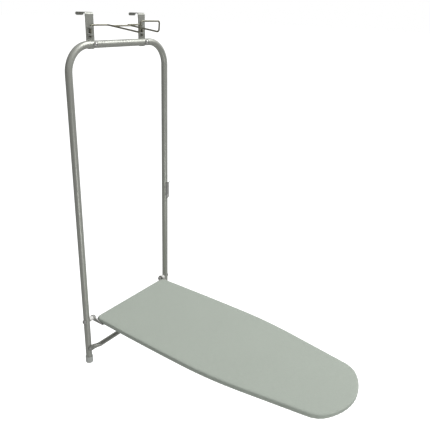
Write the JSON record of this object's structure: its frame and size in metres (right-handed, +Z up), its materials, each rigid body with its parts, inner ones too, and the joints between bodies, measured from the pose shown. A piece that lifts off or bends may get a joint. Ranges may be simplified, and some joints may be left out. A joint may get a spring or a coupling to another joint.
{
  "type": "over-the-door ironing board",
  "caption": "Tube frame hung on door hooks, with a fold-up padded board, a lift-off wire iron rest, a support strut and a catch.",
  "frame": {"origin": "on the door's top front edge, half way between the two hooks; the hook plates' undersides lie in z=0 and the straps' back faces in y=0", "axes": "+X to the right when facing the door, +Y into the door, +Z up; the board folds out towards -Y"},
  "size_m": [0.4362, 0.925, 1.145],
  "materials": {
    "frame_silver": "satin silver-grey paint",
    "hook_steel": "satin silver-grey paint on flat strip",
    "wire": "satin silver-grey paint",
    "zinc": "bright zinc plate",
    "board_steel": "grey paint on sheet steel",
    "end_cap": "light grey moulded plastic",
    "felt": "needled off-white felt",
    "cover_cotton": "plain-woven sage-grey cotton with a silvery coating"
  },
  "bodies": {
    "frame": {"frame_tube": "frame_silver", "crossbar": "frame_silver", "leg_cap_left": "end_cap", "leg_cap_right": "end_cap", "door_hook_left": "hook_steel", "door_hook_right": "hook_steel", "hook_bolts": "zinc", "hook_washers": "zinc", "crossbar_screws": "zinc", "pivot_bolts": "zinc", "pivot_washers": "zinc", "pivot_nuts": "zinc", "pivot_spacers": "end_cap", "catch_spacer": "end_cap", "catch_rivet": "zinc"},
    "board": {"board_sheet": "board_steel", "board_rim": "board_steel", "cross_rail_rear": "board_steel", "cross_rail_middle": "board_steel", "cross_rail_front": "board_steel", "hinge_bracket_left": "zinc", "hinge_bracket_right": "zinc", "bracket_rivets": "zinc", "pad": "felt", "cover": "cover_cotton", "strut_clevis": "zinc", "clevis_rivets": "zinc", "strut_pin": "zinc", "strut_clip": "zinc", "strut_washers": "end_cap"},
    "strut": {"strut_tube": "frame_silver", "strut_shoe": "end_cap"},
    "iron_rest": {"iron_rest_loop": "wire", "iron_rest_crosswire": "wire"},
    "catch": {"catch_lever": "zinc"}
  },
  "joints": [
    {"name": "board_fold", "type": "hinge", "parent": "frame", "child": "board", "pos_m": [0, -0.0125, -0.975], "axis": [-1, 0, 0], "range_deg": [0, 90]},
    {"name": "strut_fold", "type": "hinge", "parent": "board", "child": "strut", "pos_m": [0, -0.2475, -0.999], "axis": [1, 0, 0], "range_deg": [0, 20.5]},
    {"name": "rest_lift", "type": "slide", "parent": "frame", "child": "iron_rest", "axis": [0, 0, 1], "range_m": [0, 0.045]},
    {"name": "catch_turn", "type": "hinge", "parent": "frame", "child": "catch", "pos_m": [0.203, -0.0275, -0.632], "axis": [0, -1, 0], "range_deg": [0, 90]}
  ]
}
